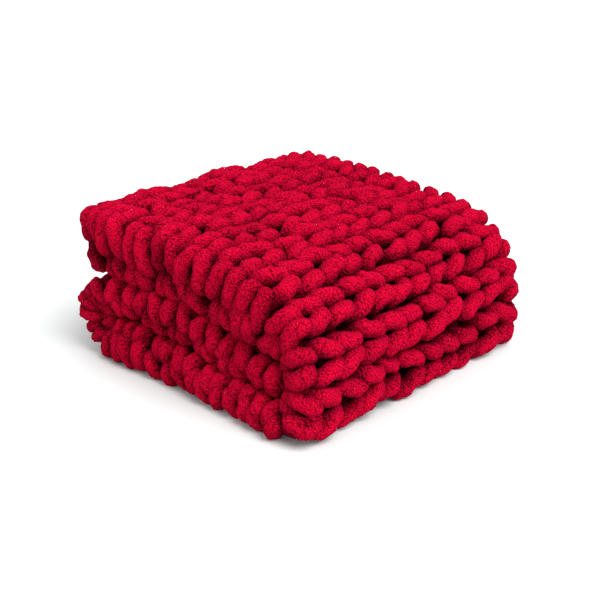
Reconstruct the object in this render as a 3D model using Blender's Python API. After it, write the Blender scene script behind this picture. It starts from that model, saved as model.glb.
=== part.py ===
# Chunky knit blanket, folded in half and then in thirds like a letter, lying flat.
# It is one sheet of thick knit. The first fold puts one layer on the other and shows at the front,
# at -Y. The second folds that double strip in thirds, about edges that run along Y: the top third
# turns down at +X into the bottom third, which turns up at -X into the middle third.
# Metres, +Z up. The origin is the middle of the footprint, on the floor.
import math
from collections import namedtuple

import bmesh
import bpy
from mathutils import Vector
from mathutils.geometry import interpolate_bezier

# The fabric, in stitches. Each column of stitches, a wale, shows as two rows of slanting legs.
WALES = 26
LEGS_A_WALE = 2
COURSES_A_LAYER = 10.5
COURSES_IN_TURN = 2

# Where the double strip lies, from the free side edge of the top third to that of the middle third.
# x and z are its middle line, outer and inner how far its two skins lie from that line, reach how far
# its folded edge stands out towards -Y, and wale how many wales lead up to the row. Its outer skin
# shows its knit where knit is 1.
StripRow = namedtuple("StripRow", "x z outer inner reach wale knit")
TOP_THIRD = (
    StripRow(-0.194, 0.149, 0.036, 0.027, 0.194, 0.0, 1),
    StripRow(-0.167, 0.150, 0.045, 0.035, 0.200, 0.6, 1),
    StripRow(-0.111, 0.151, 0.0435, 0.039, 0.203, 1.8, 1),
    StripRow(-0.041, 0.1495, 0.0415, 0.037, 0.202, 3.3, 1),
    StripRow(0.019, 0.145, 0.040, 0.034, 0.203, 4.6, 1),
    StripRow(0.074, 0.136, 0.041, 0.033, 0.205, 5.75, 1),
    StripRow(0.117, 0.1235, 0.042, 0.031, 0.205, 6.75, 1),
)
WIDE_TURN = (
    StripRow(0.148, 0.102, 0.042, 0.024, 0.202, 7.6, 1),
    StripRow(0.163, 0.0765, 0.038, 0.020, 0.201, 8.4, 1),
    StripRow(0.166, 0.052, 0.034, 0.018, 0.201, 9.05, 1),
    StripRow(0.160, 0.0325, 0.040, 0.0155, 0.204, 9.85, 1),
    StripRow(0.140, 0.0215, 0.032, 0.016, 0.204, 10.4, 1),
)
BOTTOM_THIRD = (
    StripRow(0.110, 0.0205, 0.0305, 0.0175, 0.201, 11.0, 0),
    StripRow(0.059, 0.0235, 0.0335, 0.0235, 0.201, 12.15, 0),
    StripRow(-0.011, 0.0275, 0.0375, 0.0275, 0.203, 13.7, 0),
    StripRow(-0.081, 0.030, 0.040, 0.030, 0.203, 15.25, 0),
)
TIGHT_TURN = (
    StripRow(-0.112, 0.030, 0.042, 0.027, 0.203, 15.95, 0),
    StripRow(-0.142, 0.0355, 0.049, 0.0155, 0.203, 17.0, 1),
    StripRow(-0.1555, 0.0565, 0.0525, 0.0095, 0.203, 18.3, 1),
    StripRow(-0.145, 0.078, 0.031, 0.0155, 0.200, 19.6, 1),
    StripRow(-0.116, 0.0865, 0.0215, 0.0185, 0.198, 20.3, 0),
)
MIDDLE_THIRD = (
    StripRow(-0.081, 0.086, 0.022, 0.0205, 0.197, 21.1, 0),
    StripRow(-0.011, 0.0835, 0.0245, 0.024, 0.197, 22.65, 0),
    StripRow(0.059, 0.0755, 0.0245, 0.0235, 0.197, 24.2, 0),
    StripRow(0.101, 0.066, 0.0225, 0.0225, 0.196, 25.1, 0),
    StripRow(0.135, 0.0575, 0.017, 0.0145, 0.192, 26.0, 0),
)
STRIP = TOP_THIRD + WIDE_TURN + BOTTOM_THIRD + TIGHT_TURN + MIDDLE_THIRD

FREE_END_Y = 0.200
FOLD_ROUNDING = 0.025
LAYER_GAP = 0.003
EDGE_ROUNDING = 0.011
EDGE_THINNING = 0.4  # of a layer, from each skin, at the very edge
VALLEY_DEPTH = 0.010
END_DIP = 0.6  # of the valleys' depth, where one leg follows on another
END_SCALLOP = 0.004
LEG_SLANT = 0.7  # of a course, from one side of a leg to the other

# How finely the skins are divided. What is hidden gets few points.
STEPS_A_LEG = 3
STEPS_A_COURSE = 2
HIDDEN_STEPS = 2
ROUND_STEPS = 4
SPLINE_STEPS = 16
BEND_SPREAD = 4  # spline steps to each side, over which a section's direction is taken
FLAT_WITHIN = math.radians(0.3)

YARN_COLOR = (0.42, 0.002, 0.021, 1)
YARN_ROUGHNESS = 0.95

Station = namedtuple("Station", "row place normal leg thinning")


def strip_line():
    """The table's rows joined by a smooth curve, as many close-set rows."""
    line = [STRIP[0]]
    for i, (start, end) in enumerate(zip(STRIP, STRIP[1:])):
        before = STRIP[max(i - 1, 0)]
        after = STRIP[min(i + 2, len(STRIP) - 1)]
        columns = []
        for a, b, c, d in zip(before, start, end, after):
            handles = (b, b + (c - a) / 6, c - (d - b) / 6, c)
            curve = interpolate_bezier(*(Vector((value, 0)) for value in handles), SPLINE_STEPS + 1)
            columns.append([point.x for point in curve[1:]])
        line += [StripRow(*values) for values in zip(*columns)]
    return line


def strip_stations():
    """Even steps from wale to wale, with more at the two side edges, where the layers are rounded."""
    line = strip_line()
    lengths = [0.0]
    for a, b in zip(line, line[1:]):
        lengths.append(lengths[-1] + math.hypot(b.x - a.x, b.z - a.z))
    rounded = [math.pi / 2 * step / ROUND_STEPS for step in range(ROUND_STEPS - 1, 0, -1)]
    squeeze = 1 - 2 * EDGE_ROUNDING / lengths[-1]
    steps = WALES * LEGS_A_WALE * STEPS_A_LEG
    marks = [(EDGE_ROUNDING * (1 - math.sin(angle)), 0, 1 - math.cos(angle)) for angle in rounded]
    at = 0
    for step in range(steps + 1):
        wale = WALES * step / steps
        while at < len(line) - 2 and line[at + 1].wale < wale:
            at += 1
        share = (wale - line[at].wale) / (line[at + 1].wale - line[at].wale)
        along = lengths[at] + (lengths[at + 1] - lengths[at]) * share
        marks.append((EDGE_ROUNDING + along * squeeze, step / STEPS_A_LEG, 0))
    far_edge = marks[len(rounded) - 1::-1]
    marks += [(lengths[-1] - along, WALES * LEGS_A_WALE, thinning) for along, _, thinning in far_edge]

    stations = []
    at = 0
    for along, leg, thinning in marks:
        while at < len(line) - 2 and lengths[at + 1] < along:
            at += 1
        share = (along - lengths[at]) / (lengths[at + 1] - lengths[at])
        row = StripRow(*(a + (b - a) * share for a, b in zip(line[at], line[at + 1])))
        before = line[max(at - BEND_SPREAD, 0)]
        after = line[min(at + 1 + BEND_SPREAD, len(line) - 1)]
        run = Vector((after.x - before.x, 0, after.z - before.z)).normalized()
        stations.append(Station(row, Vector((row.x, 0, row.z)), Vector((-run.z, 0, run.x)), leg, thinning))
    return stations


def skin(row, course, sunk):
    """Where the skin lies some courses from the outer layer's free end: y, and height over the middle line."""
    half = (row.outer + row.inner) / 2
    turn_y = FOLD_ROUNDING - row.reach
    free_y = FREE_END_Y - EDGE_ROUNDING
    turned = (course - COURSES_A_LAYER) / COURSES_IN_TURN
    if turned <= 0:
        return free_y + (turn_y - free_y) * course / COURSES_A_LAYER, row.outer - sunk
    if turned >= 1:
        back = (course - COURSES_A_LAYER - COURSES_IN_TURN) / COURSES_A_LAYER
        return turn_y + (free_y - turn_y) * back, sunk - row.inner
    angle = math.pi * turned
    return (turn_y - (FOLD_ROUNDING - sunk) * math.sin(angle),
            (row.outer - row.inner) / 2 + (half - sunk) * math.cos(angle))


def free_end(start, end, drawn_in):
    """The rounded end of one layer, from one skin's height to the other's."""
    points = []
    for step in range(1, ROUND_STEPS):
        angle = math.pi * step / ROUND_STEPS
        points.append((FREE_END_Y - EDGE_ROUNDING + (EDGE_ROUNDING - drawn_in) * math.sin(angle),
                       (start + end) / 2 + (start - end) / 2 * math.cos(angle)))
    return points


def section(station):
    """The closed outline of the double strip across one station."""
    row, _, _, leg, thinning = station
    thin = thinning * min(row.outer, row.inner) * EDGE_THINNING
    across = math.sin(math.pi * (leg % 1))
    zigzag = abs(leg % LEGS_A_WALE - 1) - 0.5
    shown = COURSES_A_LAYER + COURSES_IN_TURN
    points = []
    for step in range(int(shown * STEPS_A_COURSE) + 1):
        course = step / STEPS_A_COURSE
        along = 1 - END_DIP * math.cos(math.pi * course) ** 2
        bare = row.knit + (1 - row.knit) * min(max(course - COURSES_A_LAYER + 1, 0), 1)
        sunk = VALLEY_DEPTH * (1 - across * along) * bare * min(shown - course, 1)
        shift = LEG_SLANT * zigzag * min(course, shown - course, 1)
        points.append(skin(row, course + shift, sunk + thin))
    for step in range(1, HIDDEN_STEPS + 1):
        points.append(skin(row, shown + COURSES_A_LAYER * step / HIDDEN_STEPS, thin))

    gap = LAYER_GAP / 2 + thin
    scallop = thin + END_SCALLOP * (1 - across)
    within = -row.reach + row.outer - LAYER_GAP / 2 + thin
    points += free_end(thin - row.inner, -gap, scallop)
    points += [(FREE_END_Y - EDGE_ROUNDING, -gap), (within + gap, -gap), (within, 0), (within + gap, gap),
               (FREE_END_Y - EDGE_ROUNDING, gap)]
    points += free_end(gap, row.outer - thin, scallop)
    return points


def knit_sheet():
    """The whole sheet as one closed body, lofted from section to section along the strip."""
    bm = bmesh.new()
    loops = []
    for station in strip_stations():
        loop = []
        for y, height in section(station):
            point = station.place + station.normal * height
            loop.append(bm.verts.new((point.x, y, max(point.z, 0))))
        loops.append(loop)
    for loop, after in zip(loops, loops[1:]):
        for i in range(len(loop)):
            bm.faces.new((loop[i - 1], loop[i], after[i], after[i - 1]))
    bm.faces.new(loops[0])
    bm.faces.new(reversed(loops[-1]))

    bmesh.ops.triangulate(bm, faces=bm.faces)
    bmesh.ops.dissolve_limit(bm, angle_limit=FLAT_WITHIN, verts=bm.verts, edges=bm.edges)
    bmesh.ops.triangulate(bm, faces=bm.faces)
    bmesh.ops.recalc_face_normals(bm, faces=bm.faces)
    for axis in (Vector((1, 0, 0)), Vector((0, 1, 0))):
        along = [vert.co.dot(axis) for vert in bm.verts]
        bmesh.ops.translate(bm, verts=bm.verts, vec=axis * -(min(along) + max(along)) / 2)
    return bm


def yarn():
    material = bpy.data.materials.new("yarn")
    material.use_nodes = True
    surface = material.node_tree.nodes["Principled BSDF"]
    surface.inputs["Base Color"].default_value = YARN_COLOR
    surface.inputs["Roughness"].default_value = YARN_ROUGHNESS
    surface.inputs["Metallic"].default_value = 0
    material.diffuse_color = YARN_COLOR
    return material


def knit_blanket():
    mesh = bpy.data.meshes.new("knit_blanket")
    bm = knit_sheet()
    bm.to_mesh(mesh)
    bm.free()
    mesh.materials.append(yarn())
    blanket = bpy.data.objects.new("knit_blanket", mesh)
    collection = bpy.data.collections.new("chunky_knit_blanket")
    bpy.context.scene.collection.children.link(collection)
    collection.objects.link(blanket)


for leftover in list(bpy.data.objects):
    bpy.data.objects.remove(leftover)
knit_blanket()
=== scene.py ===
# A folded throw of jumbo chenille yarn, knitted loop by loop in place of its plain solid.
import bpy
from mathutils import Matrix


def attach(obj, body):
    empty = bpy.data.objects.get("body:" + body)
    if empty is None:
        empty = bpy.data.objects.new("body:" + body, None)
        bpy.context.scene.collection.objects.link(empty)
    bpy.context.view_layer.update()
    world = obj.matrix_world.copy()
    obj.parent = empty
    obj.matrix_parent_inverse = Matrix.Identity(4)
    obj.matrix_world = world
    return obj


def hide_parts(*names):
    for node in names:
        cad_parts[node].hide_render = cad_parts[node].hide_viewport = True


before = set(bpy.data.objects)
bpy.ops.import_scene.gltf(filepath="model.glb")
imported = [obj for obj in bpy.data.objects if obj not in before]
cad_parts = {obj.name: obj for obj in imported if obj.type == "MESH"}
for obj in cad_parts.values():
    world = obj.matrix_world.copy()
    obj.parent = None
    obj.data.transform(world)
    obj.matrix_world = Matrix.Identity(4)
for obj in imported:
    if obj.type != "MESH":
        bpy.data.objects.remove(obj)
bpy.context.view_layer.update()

import bisect
import math
import random
from collections import namedtuple

import bmesh
import bpy
from mathutils import Vector, kdtree, noise

# How the cloth lies. It is folded in half, with the fold at -Y, and this double strip is then folded in thirds.
# A row is a place along the strip's middle line, with the distance out to its two skins, the reach of its fold
# and the wales of knit up to there.
StripRow = namedtuple("StripRow", "x z outer inner reach wale")
strip = {
    "rows": [
        StripRow(-0.191, 0.147, 0.033, 0.028, 0.185, 0.0),  # the top third, from its free side
        StripRow(-0.167, 0.150, 0.044, 0.037, 0.199, 0.6),
        StripRow(-0.111, 0.151, 0.045, 0.040, 0.203, 1.8),
        StripRow(-0.041, 0.1495, 0.043, 0.039, 0.202, 3.3),
        StripRow(0.019, 0.145, 0.0425, 0.037, 0.203, 4.6),
        StripRow(0.074, 0.136, 0.045, 0.035, 0.205, 5.75),
        StripRow(0.117, 0.1235, 0.0475, 0.033, 0.205, 6.75),
        StripRow(0.148, 0.102, 0.045, 0.024, 0.202, 7.8),  # the wide turn
        StripRow(0.163, 0.0765, 0.039, 0.018, 0.202, 8.65),
        StripRow(0.166, 0.052, 0.036, 0.016, 0.206, 9.2),
        StripRow(0.160, 0.0325, 0.044, 0.016, 0.213, 9.85),
        StripRow(0.140, 0.0215, 0.025, 0.016, 0.216, 10.4),
        StripRow(0.110, 0.0205, 0.024, 0.018, 0.213, 11.0),  # the bottom third
        StripRow(0.059, 0.0235, 0.026, 0.0255, 0.206, 12.15),
        StripRow(-0.011, 0.0275, 0.030, 0.0295, 0.203, 13.7),
        StripRow(-0.081, 0.030, 0.0325, 0.032, 0.203, 15.25),
        StripRow(-0.112, 0.030, 0.034, 0.033, 0.203, 15.85),  # the tight turn
        StripRow(-0.142, 0.0355, 0.042, 0.028, 0.203, 16.75),
        StripRow(-0.156, 0.0565, 0.0485, 0.024, 0.203, 18.3),
        StripRow(-0.145, 0.078, 0.033, 0.026, 0.200, 19.8),
        StripRow(-0.116, 0.0865, 0.0255, 0.0245, 0.199, 20.45),
        StripRow(-0.081, 0.086, 0.0255, 0.025, 0.199, 21.1),  # the middle third
        StripRow(-0.011, 0.0835, 0.0275, 0.028, 0.200, 22.65),
        StripRow(0.059, 0.0755, 0.0275, 0.028, 0.200, 24.2),
        StripRow(0.101, 0.066, 0.0255, 0.0265, 0.200, 25.1),
        StripRow(0.127, 0.0595, 0.023, 0.023, 0.199, 25.6),
        StripRow(0.150, 0.053, 0.018, 0.018, 0.197, 26.0),
    ],
    "stepsARow": 12,
    "shift": Vector((0.0032, 0.0020, 0)),
    "twist": {"rate": 0.06, "height": 0.08},  # how its top leans towards +X along +Y, and its foot away
    "freeY": 0.189,
    "foldRounding": 0.020,
    "wander": {"scale": 17, "reach": 0.0065, "apart": 31.7},  # apart keeps its three directions unlike
}

# The knit. A stitch is given from the middle of the sinker on its left to its own middle.
# across is in wales, along in courses from the stitch's foot, and share is 0 at the face and 1 at the back.
YarnPoint = namedtuple("YarnPoint", "across along share")
knit = {
    "wales": 26,
    "coursesOnTop": 10.25,
    "coursesInTurn": 1.4,
    "coursesBeneath": 10.35,
    "halfStitch": [
        YarnPoint(-0.50, -0.12, 1.0),
        YarnPoint(-0.30, -0.10, 1.0),
        YarnPoint(-0.14, 0.06, 0.75),
        YarnPoint(-0.155, 0.24, 0.18),
        YarnPoint(-0.205, 0.50, 0.0),
        YarnPoint(-0.27, 0.82, 0.0),
        YarnPoint(-0.32, 1.06, 0.20),
        YarnPoint(-0.26, 1.24, 0.80),
        YarnPoint(0.0, 1.36, 1.0),
    ],
    "stitchJitter": YarnPoint(0.055, 0.15, 0.08),
    "pointJitter": YarnPoint(0.032, 0.055, 0.055),
    "sideArc": YarnPoint(0.06, 0.5, 0.45),
    "edgeCoil": {"turnsAWale": 2, "radius": 0.007, "share": 0.4, "castOn": 0.15, "castOff": 21.9,
                 "pointsATurn": 6},
    "shown": {"wales": [(0, 10.5), (16.5, 20.0)], "beforeTurn": 1.6, "afterTurn": 0.9, "beforeEnd": 1.2},
    "seed": 5,
}
turnEnd = knit["coursesOnTop"] + knit["coursesInTurn"]
courses = int(turnEnd + knit["coursesBeneath"])
yarn = {
    "radius": 0.0102,
    "squeezed": 0.4,  # how much thinner it is pressed where it passes behind another loop
    "room": (0.026, 0.041),  # the least and most depth that a layer's loops take
    "radiusChange": {"scale": 40, "share": 0.12},
    "waleWidth": 0.046,  # where the yarn has its own radius
    "measured": 0.5,  # the wales over which that width is taken
    "crowded": 0.25,  # the least and most of that width that change its thickness
    "loose": 1.12,
    "floorLift": 0.0075,  # the least height of its middle
    "weld": 0.00001,
    "lumps": {"scale": 90, "height": 0.0024},
    "tufts": {"scale": 330, "height": 0.0014},
    "paintedShadeDepth": 0.020,  # how far under the cloth's face the painted shade on the pile is darkest
    "shown": {"steps": 4, "sides": 20},
    "hidden": {"steps": 2, "sides": 8},
}
pieces = {  # the courses in each piece, counted from the cast-on edge
    "knitTop1": range(0, 3),
    "knitTop2": range(3, 6),
    "knitTop3": range(6, 9),
    "knitFold1": range(9, 11),
    "knitFold2": range(11, 14),
    "knitUnder1": range(14, 19),
    "knitUnder2": range(19, courses),
}


def smoothly(points, steps):  # a Catmull-Rom curve through points of any number of values
    curve = []
    for i in range(len(points) - 1):
        a, b, c, d = points[max(i - 1, 0)], points[i], points[i + 1], points[min(i + 2, len(points) - 1)]
        for step in range(steps):
            t = step / steps
            weights = (-t + 2*t*t - t**3, 2 - 5*t*t + 3*t**3, t + 4*t*t - 3*t**3, t**3 - t*t)
            curve.append(tuple(sum(w * v for w, v in zip(weights, values)) / 2 for values in zip(a, b, c, d)))
    return curve + [tuple(points[-1])]


stripLine = [StripRow(*values) for values in smoothly(strip["rows"], strip["stepsARow"])]
stripWales = [row.wale for row in stripLine]


def stripAt(across):  # the strip's row, middle and outward direction at some wales from its free side
    i = min(max(bisect.bisect_left(stripWales, across), 2), len(stripWales) - 2)
    start, end = stripLine[i - 1], stripLine[i]
    part = (across - start.wale) / (end.wale - start.wale)
    within = min(max(part, 0), 1)
    row = StripRow(*(a + (b - a) * within for a, b in zip(start, end)))
    middle = Vector((start.x + (end.x - start.x) * part, 0, start.z + (end.z - start.z) * part))
    before, after = stripLine[i - 2], stripLine[i + 1]
    runIn = Vector((end.x - before.x, 0, end.z - before.z)).normalized()
    runOut = Vector((after.x - start.x, 0, after.z - start.z)).normalized()
    run = runIn.lerp(runOut, within).normalized()
    return row, middle, Vector((-run.z, 0, run.x))


def stray(spot):  # how far a spot of the cloth lies from an even fold
    wander = strip["wander"]
    places = [spot * wander["scale"] + Vector((wander["apart"] * axis, 0, 0)) for axis in range(3)]
    return Vector([noise.noise(place) for place in places]) * wander["reach"]


def clothPoint(across, along, share):  # where a spot of the cloth lies once it is folded
    row, middle, outward = stripAt(across)
    half = (row.outer + row.inner) / 2
    rounding = strip["foldRounding"]
    turnY = rounding - row.reach
    turned = (along - knit["coursesOnTop"]) / knit["coursesInTurn"]
    inTurn = math.sin(math.pi * min(max(turned, 0), 1))
    room = row.outer if turned < 0.5 else row.inner
    room = min(max(room + (max(half, rounding) - room) * inTurn, yarn["room"][0]), yarn["room"][1])
    depth = yarn["radius"] + share * (room - 2 * yarn["radius"])
    if turned <= 0:
        y, height = strip["freeY"] + (turnY - strip["freeY"]) * along / knit["coursesOnTop"], row.outer - depth
    elif turned >= 1:
        back = (along - turnEnd) / knit["coursesBeneath"]
        y, height = turnY + (strip["freeY"] - turnY) * back, depth - row.inner
    else:
        angle = math.pi * turned
        y = turnY - (rounding - depth) * math.sin(angle)
        height = (row.outer - row.inner) / 2 + (half - depth) * math.cos(angle)
    spot = middle + outward * height + Vector((0, y, 0)) + strip["shift"]
    spot.x += strip["twist"]["rate"] * y * (spot.z - strip["twist"]["height"])
    spot += stray(spot)
    spot.z = max(spot.z, yarn["floorLift"])
    return spot


def coursePath(course, chance):  # the yarn's way along one course, from the strip's free side
    points = []
    for wale in range(knit["wales"]):
        left = knit["halfStitch"]
        right = [point._replace(across=-point.across) for point in left[-2::-1]]
        stitch = left + right if wale == knit["wales"] - 1 else left + right[:-1]
        place = [reach * chance.uniform(-1, 1) for reach in knit["stitchJitter"]]
        for point in stitch:
            moved = [value + whole + reach * chance.uniform(-1, 1)
                     for value, whole, reach in zip(point, place, knit["pointJitter"])]
            points.append(YarnPoint(wale + 0.5 + moved[0], course + moved[1], moved[2]))
    arc = knit["sideArc"]
    towards = arc.along if course % 2 else -arc.along
    points.insert(0, YarnPoint(-arc.across, max(course + towards, knit["edgeCoil"]["castOn"]), arc.share))
    points.append(YarnPoint(knit["wales"] + arc.across, course - towards, arc.share))
    return points


def edgePath(along):  # a coil of yarn that closes the loops along a cast-on or cast-off edge
    coil = knit["edgeCoil"]
    courseLength = (strip["freeY"] * 2) / (knit["coursesOnTop"] + 1)
    turns = knit["wales"] * coil["turnsAWale"]
    points = []
    for step in range(turns * coil["pointsATurn"] + 1):
        angle = 2 * math.pi * step / coil["pointsATurn"]
        swing = coil["radius"] * math.cos(angle) / courseLength
        points.append(YarnPoint(step / coil["pointsATurn"] / coil["turnsAWale"], along + swing,
                                coil["share"] + coil["share"] * math.sin(angle)))
    return points


def stretches(path):  # the path cut where its cloth passes from shown to hidden
    seen = knit["shown"]
    parts = []
    for i, point in enumerate(path):
        shown = knit["coursesOnTop"] - seen["beforeTurn"] < point.along < turnEnd + seen["afterTurn"]
        shown = shown or point.along > courses - seen["beforeEnd"] or (
            point.along < knit["coursesOnTop"] and any(low <= point.across <= high for low, high in seen["wales"]))
        if not parts or parts[-1][0] != shown:
            parts.append((shown, []))
            if i:
                parts[-1][1].append(path[i - 1])
        parts[-1][1].append(point)
    return [(shown, points) for shown, points in parts if len(points) > 1]


def yarnTube(route, detail, centres):
    curve = bpy.data.curves.new("yarn", "CURVE")
    curve.dimensions = "3D"
    curve.bevel_depth = yarn["radius"]
    curve.bevel_resolution = (detail["sides"] - 4) // 2
    curve.use_fill_caps = True
    spline = curve.splines.new("POLY")
    points = smoothly(route, detail["steps"])
    spots = [clothPoint(*point) for point in points]
    for (across, along, _), spot in zip(points, spots):
        face, back = clothPoint(across, along, 0), clothPoint(across, along, 1)
        centres.append((spot, (face - back).normalized(), face))
    spline.points.add(len(spots) - 1)
    aside = yarn["measured"] / 2
    for knot, spot, (across, along, share) in zip(spline.points, spots, points):
        span = clothPoint(across + aside, along, share) - clothPoint(across - aside, along, share)
        waleWidth = span.length / yarn["measured"]
        crowding = min(max(waleWidth / yarn["waleWidth"], yarn["crowded"]), yarn["loose"]) ** 0.5
        knot.co = (*spot, 1)
        squeeze = 1 - yarn["squeezed"] * min(max(share, 0), 1)
        change = yarn["radiusChange"]["share"] * noise.noise(spot * yarn["radiusChange"]["scale"])
        knot.radius = crowding * squeeze * (1 + change)
    tube = bpy.data.objects.new("yarn", curve)
    bpy.context.scene.collection.objects.link(tube)
    mesh = bpy.data.meshes.new_from_object(tube.evaluated_get(bpy.context.evaluated_depsgraph_get()))
    bpy.data.objects.remove(tube)
    bpy.data.curves.remove(curve)
    return mesh


def fluffUp(bm, centres):  # soft lumps and tufts of pile, and how deep in the cloth each spot of it lies, for the material's painted shade
    tree = kdtree.KDTree(len(centres))
    for i, (spot, *_) in enumerate(centres):
        tree.insert(spot, i)
    tree.balance()
    bm.normal_update()
    # each spot's depth under the cloth's face, which the material turns into painted shade in the creases between
    # loops
    depth = bm.verts.layers.float.new("depth")
    for vert in bm.verts:
        _, outward, face = centres[tree.find(vert.co)[1]]
        under = yarn["radius"] - (vert.co - face).dot(outward)
        vert[depth] = min(max(under / yarn["paintedShadeDepth"], 0), 1)
    for vert in bm.verts:
        lump = noise.noise(vert.co * yarn["lumps"]["scale"])
        tuft = noise.noise(vert.co * yarn["tufts"]["scale"])
        vert.co += vert.normal * (lump * yarn["lumps"]["height"] + tuft * yarn["tufts"]["height"])
        vert.co.z = max(vert.co.z, 0)


def knitPiece(name, material):
    bm = bmesh.new()
    paths = [coursePath(course, random.Random(knit["seed"] + course)) for course in pieces[name]]
    if 0 in pieces[name]:
        paths.append(edgePath(knit["edgeCoil"]["castOn"]))
    if courses - 1 in pieces[name]:
        paths.append(edgePath(knit["edgeCoil"]["castOff"]))
    centres = []
    for path in paths:
        for shown, points in stretches(path):
            mesh = yarnTube(points, yarn["shown"] if shown else yarn["hidden"], centres)
            bm.from_mesh(mesh)
            bpy.data.meshes.remove(mesh)
    bmesh.ops.remove_doubles(bm, verts=bm.verts, dist=yarn["weld"])
    fluffUp(bm, centres)
    mesh = bpy.data.meshes.new(name)
    bm.to_mesh(mesh)
    bm.free()
    mesh.shade_smooth()
    mesh.materials.append(material)
    piece = bpy.data.objects.new(name, mesh)
    bpy.context.scene.collection.objects.link(piece)
    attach(piece, "root")
    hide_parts("knit_blanket")
    print(name, "has", sum(len(face.vertices) - 2 for face in mesh.polygons), "triangles")
    return piece


class Shade:  # a socket in a material, on which sums are written as plain Python
    def __init__(self, tree, socket=None):
        self.tree, self.socket = tree, socket

    def node(self, kind, settings=None, inputs=None, output=0):
        made = self.tree.nodes.new(kind)
        for name, value in (settings or {}).items():
            setattr(made, name, value)
        for name, value in (inputs or {}).items():
            if isinstance(value, Shade):
                self.tree.links.new(value.socket, made.inputs[name])
            else:
                made.inputs[name].default_value = value
        return Shade(self.tree, made.outputs[output])

    def sums(self, operation, first, second):
        return self.node("ShaderNodeMath", {"operation": operation}, {0: first, 1: second})

    def __add__(self, other):
        return self.sums("ADD", self, other)

    __radd__ = __add__

    def __sub__(self, other):
        return self.sums("SUBTRACT", self, other)

    def __rsub__(self, other):
        return self.sums("SUBTRACT", other, self)

    def __mul__(self, other):
        return self.sums("MULTIPLY", self, other)

    __rmul__ = __mul__


finish = {
    # deep is the red of the pile's dark grain and of its painted shade; bright is the red of the pile's face
    "deep": (0.06, 0.0002, 0.0030, 1),
    "bright": (0.62, 0.0020, 0.030, 1),
    # plain is the face's level; depth takes it down as painted shade deep in the cloth, tufts as painted shade in
    # the pits between tufts, and fibres and patches as the pile's own random grain
    "tone": {"plain": 1.4, "tufts": 1.3, "depth": 1.1, "fibres": 0.4, "patches": 0.4},
    "tuftScale": 420,
    "tuftSmoothness": 0.4,
    "fibreScale": 1100,
    "patchScale": 28,
    "tuftHeight": 0.0048,
    "fibreHeight": 0.0009,
    "gloss": 0.01,
    "sheen": 0.2,
    "sheenRoughness": 0.5,
    "sheenTint": (1, 0.01, 0.10, 1),
}


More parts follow.
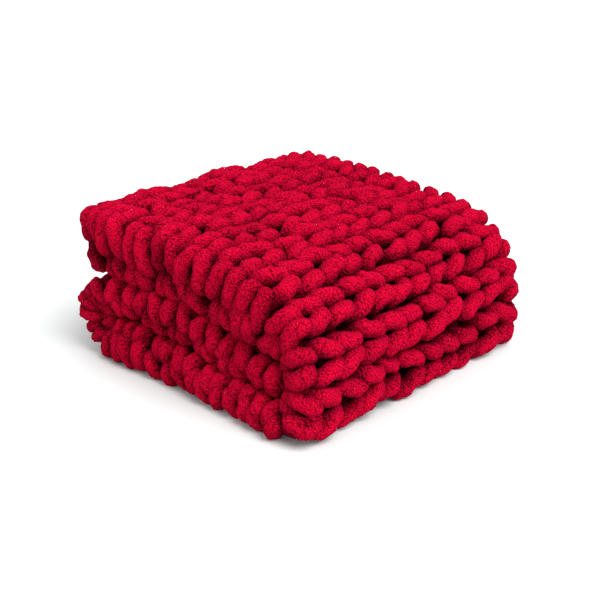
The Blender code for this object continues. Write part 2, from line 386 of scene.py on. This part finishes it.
def chenille():
    material = bpy.data.materials.new("crimsonChenille")
    material.use_nodes = True
    tree = material.node_tree
    surface = tree.nodes["Principled BSDF"]
    surface.inputs["Roughness"].default_value = 1
    surface.inputs["Diffuse Roughness"].default_value = 1
    surface.inputs["Specular IOR Level"].default_value = finish["gloss"]
    surface.inputs["Sheen Weight"].default_value = finish["sheen"]
    surface.inputs["Sheen Roughness"].default_value = finish["sheenRoughness"]
    surface.inputs["Sheen Tint"].default_value = finish["sheenTint"]

    start = Shade(tree)
    place = start.node("ShaderNodeTexCoord", output="Object")
    tufts = start.node("ShaderNodeTexVoronoi", {"feature": "SMOOTH_F1"},
                       {"Vector": place, "Scale": finish["tuftScale"], "Smoothness": finish["tuftSmoothness"]})
    fibres = start.node("ShaderNodeTexNoise", {}, {"Vector": place, "Scale": finish["fibreScale"], "Detail": 2})
    patches = start.node("ShaderNodeTexNoise", {}, {"Vector": place, "Scale": finish["patchScale"], "Detail": 1})
    # painted shade: the deeper a spot lies in the cloth, the darker its red
    depth = start.node("ShaderNodeAttribute", {"attribute_name": "depth"}, output="Fac")
    by = finish["tone"]
    # painted shade: darker in the pits between the pile's tufts, which follow the tufts' own pattern
    tone = by["plain"] - by["tufts"] * tufts - by["depth"] * depth
    tone = tone + by["fibres"] * (fibres - 0.5) + by["patches"] * (patches - 0.5)
    tone = start.node("ShaderNodeClamp", {}, {"Value": tone})
    color = start.node("ShaderNodeMix", {"data_type": "RGBA"},
                       {0: tone, 6: finish["deep"], 7: finish["bright"]}, output=2)
    height = finish["fibreHeight"] * fibres - finish["tuftHeight"] * tufts
    bump = start.node("ShaderNodeBump", {}, {"Height": height, "Distance": 1, "Strength": 1})
    tree.links.new(color.socket, surface.inputs["Base Color"])
    tree.links.new(bump.socket, surface.inputs["Normal"])
    return material


red = chenille()
for name in pieces:
    knitPiece(name, red)

view = {"azimuth": 42.4, "elevation": 21.4, "distance": 1.5, "target": (0.0052, 0.0014, 0.0645), "lens": 71.5,
        "sensor": 36}


def photoCamera():
    azimuth, elevation = math.radians(view["azimuth"]), math.radians(view["elevation"])
    back = Vector((math.sin(azimuth) * math.cos(elevation), -math.cos(azimuth) * math.cos(elevation),
                   math.sin(elevation)))
    data = bpy.data.cameras.new("camera")
    data.lens = view["lens"]
    data.sensor_width = view["sensor"]
    camera = bpy.data.objects.new("camera", data)
    camera.location = Vector(view["target"]) + back * view["distance"]
    camera.rotation_euler = back.to_track_quat("Z", "Y").to_euler()
    bpy.context.scene.collection.objects.link(camera)
    bpy.context.scene.camera = camera


studio = {"sky": 1.05, "skyColor": (1, 1, 1, 1), "floor": (0.66, 0.68, 0.68, 1), "floorSide": 40,
          "sun": 3.4, "sunAngle": 40, "sunFrom": (0.62, -0.08, 0.78)}


def paleFloor():
    bpy.ops.mesh.primitive_plane_add(size=studio["floorSide"], location=(0, 0, 0))
    floor = bpy.context.object
    floor.name = "floor"
    material = bpy.data.materials.new("paleFloor")
    material.use_nodes = True
    surface = material.node_tree.nodes["Principled BSDF"]
    surface.inputs["Base Color"].default_value = studio["floor"]
    surface.inputs["Roughness"].default_value = 1
    floor.data.materials.append(material)


def studioLight():
    data = bpy.data.lights.new("keyLight", "SUN")
    data.energy = studio["sun"]
    data.angle = math.radians(studio["sunAngle"])
    light = bpy.data.objects.new("keyLight", data)
    light.rotation_euler = Vector(studio["sunFrom"]).to_track_quat("Z", "Y").to_euler()
    bpy.context.scene.collection.objects.link(light)
    world = bpy.data.worlds.new("studio")
    world.use_nodes = True
    sky = world.node_tree.nodes["Background"]
    sky.inputs["Color"].default_value = studio["skyColor"]
    sky.inputs["Strength"].default_value = studio["sky"]
    bpy.context.scene.world = world
    bpy.context.scene.view_settings.view_transform = "Standard"


photoCamera()
paleFloor()
studioLight()
